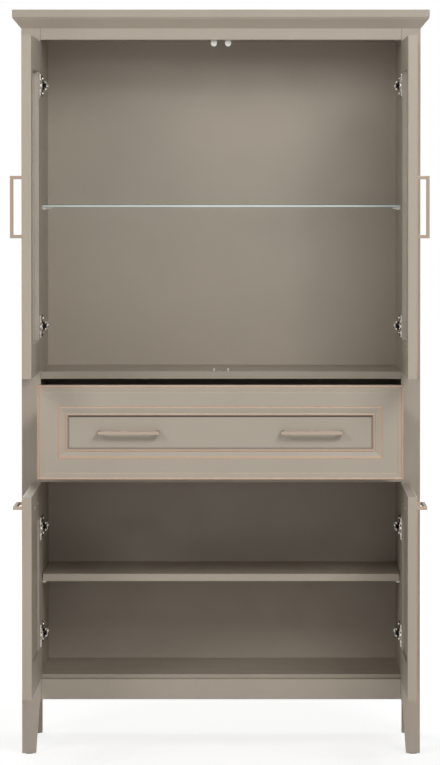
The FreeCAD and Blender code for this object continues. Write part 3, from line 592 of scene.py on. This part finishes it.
# ---- Rounded edges ----
for level in LEVELS:
    for side, _ in SIDES:
        softened(f"{level}_{side}_door_handle", 0.7)
        softened(f"{level}_{side}_door_hinge_cups", 0.4, segments=2)
        softened(f"{level}_{side}_door_hinge_links", 0.3, segments=2)
softened("drawer_handles", 0.7)
softened("door_bumpers", 1.5)
softened("door_pegs", 0.6)
softened("hinge_arms", 0.4, segments=2)
softened("hinge_plates", 0.4, segments=2)
# The carcass's front edges are sanded round, which leaves a fine groove where two pieces meet.
CROWN = ("top_board", "cornice_front", "cornice_returns", "top_rail")
for node in CROWN + ("front_post_left", "front_post_right"):
    softened(node, 0.8, segments=2)


# ---- Floor and background ----
FLOOR_SIZE = 30.0
ROOM_LIGHT = 0.10


def seen_directly(tree):
    """1 for the camera and for what gloss and glass show of the white room; 0 for light that a
    painted face has already scattered, which takes the room's own strength."""
    rays = add(tree, "LightPath").outputs
    clear_view = {0: rays["Is Camera Ray"], 1: rays["Is Transmission Ray"]}
    seen = {0: add(tree, "Math", clear_view, operation="MAXIMUM"), 1: rays["Is Glossy Ray"]}
    unscattered = add(tree, "Math", {0: rays["Diffuse Depth"], 1: 0.5}, operation="LESS_THAN")
    seen_first = {0: add(tree, "Math", seen, operation="MAXIMUM"), 1: unscattered}
    return add(tree, "Math", seen_first, operation="MULTIPLY")


def floor():
    mesh = bpy.data.meshes.new("studio_floor")
    form = bmesh.new()
    bmesh.ops.create_grid(form, x_segments=1, y_segments=1, size=FLOOR_SIZE)
    form.to_mesh(mesh)
    form.free()
    piece = bpy.data.objects.new("studio_floor", mesh)
    bpy.context.scene.collection.objects.link(piece)
    material, tree = new_material("white_studio_paper")
    # Matt paper roll: seen as plain white that only the object's shadow darkens, and that near it.
    place = add(tree, "TexCoord").outputs["Object"]
    away = add(tree, "VectorMath", {0: place}, operation="LENGTH").outputs["Value"]
    whiter = {"Value": away, "From Min": 1.0, "From Max": 3.0, "To Min": 0.76, "To Max": 1.0}
    glow = add(tree, "Emission", {"Color": linear("FFFFFF"), "Strength": add(tree, "MapRange", whiter)})
    shaded = add(tree, "BsdfDiffuse", {"Color": linear("B8B8B8")})
    seen = add(tree, "AddShader", {0: shaded, 1: glow})
    paper = add(tree, "BsdfDiffuse", {"Color": linear("E6E5E3")})
    mixed = add(tree, "MixShader", {0: seen_directly(tree), 1: paper, 2: seen})
    add(tree, "OutputMaterial", {"Surface": mixed})
    finish(piece, material)


def white_world():
    """Soft room light, seen as plain white by the camera and in gloss and glass."""
    world = bpy.data.worlds.new("white_room")
    bpy.context.scene.world = world
    world.use_nodes = True
    tree = world.node_tree
    tree.nodes.clear()
    room = add(tree, "Background", {"Color": linear("FFFFFF"), "Strength": ROOM_LIGHT})
    backdrop = add(tree, "Background", {"Color": linear("FFFFFF"), "Strength": 1.0})
    mixed = add(tree, "MixShader", {0: seen_directly(tree), 1: room, 2: backdrop})
    add(tree, "OutputWorld", {"Surface": mixed})


# ---- Lamps ----
# Metres and watts. The softboxes stand around the cupboard at one distance.
LAMP_DISTANCE = 4.0


def around(turn, height):
    """A softbox's place, turned by this many degrees to the right of straight ahead."""
    return (LAMP_DISTANCE * sin(radians(turn)), -LAMP_DISTANCE * cos(radians(turn)), height)


def area_light(name, place, aim, size, watts):
    lamp = bpy.data.lights.new(name, "AREA")
    lamp.shape = "RECTANGLE"
    lamp.size, lamp.size_y = size
    lamp.energy = watts
    piece = bpy.data.objects.new(name, lamp)
    bpy.context.scene.collection.objects.link(piece)
    piece.location = place
    piece.rotation_euler = (Vector(aim) - Vector(place)).to_track_quat("-Z", "Y").to_euler()
    return piece


def front_lights():
    """Three softboxes above eye level and a broad dim window between them."""
    aim = (0.0, 0.0, 1.1)
    area_light("right_lamp", around(28, height=3.2), aim, size=(1.2, 1.1), watts=40.6)
    area_light("centre_lamp", around(14, height=2.55), aim, size=(1.0, 1.1), watts=32.8)
    area_light("left_lamp", around(-31, height=2.55), aim, size=(1.0, 1.1), watts=34.5)
    window = area_light("front_window", (0.0, -5.0, 1.2), (0.0, 0.0, 0.9), size=(4.0, 2.4), watts=24.0)
    # Gloss already shows the white room there, and both together would double it.
    window.visible_glossy = False


def side_lights():
    """Dim windows that light only the sides, the back and the top."""
    size = (2.4, 1.6)
    area_light("rear_window", (-1.5, 5.0, 2.8), (0.0, 0.4, 1.0), size, watts=60.0)
    area_light("left_window", (-4.5, 1.5, 1.6), (0.0, 0.25, 0.9), size, watts=28.0)
    area_light("right_window", (4.5, 1.5, 1.6), (0.0, 0.25, 0.9), size, watts=28.0)
    area_light("skylight", (0.0, 0.8, 4.6), (0.0, 0.25, 1.8), size=(1.2, 1.0), watts=22.0)


# ---- Camera ----
# It stands this far before the carcass, a little to the right, and looks slightly down.
CAMERA_DISTANCE = 9.95
CAMERA_RIGHT = 0.065
CAMERA_HEIGHT = 1.389
CAMERA_PITCH = radians(1.4)
CAMERA_SENSOR = 36.0
CAMERA_SHIFT = (-0.0366, -0.1361)
FRAME_HEIGHT = 1.837
VIEW_LIMIT = 100.0


def camera():
    data = bpy.data.cameras.new("camera")
    data.sensor_fit = "AUTO"
    data.sensor_width = CAMERA_SENSOR
    data.lens = CAMERA_SENSOR * CAMERA_DISTANCE / FRAME_HEIGHT
    data.shift_x, data.shift_y = CAMERA_SHIFT
    data.clip_end = VIEW_LIMIT
    piece = bpy.data.objects.new("camera", data)
    bpy.context.scene.collection.objects.link(piece)
    carcass_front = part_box("top_rail")[0].y
    piece.location = (CAMERA_RIGHT, carcass_front - CAMERA_DISTANCE, CAMERA_HEIGHT)
    piece.rotation_euler = (radians(90) - CAMERA_PITCH, 0, 0)
    bpy.context.scene.camera = piece


floor()
white_world()
front_lights()
side_lights()
camera()
bpy.context.scene.view_settings.view_transform = "Standard"
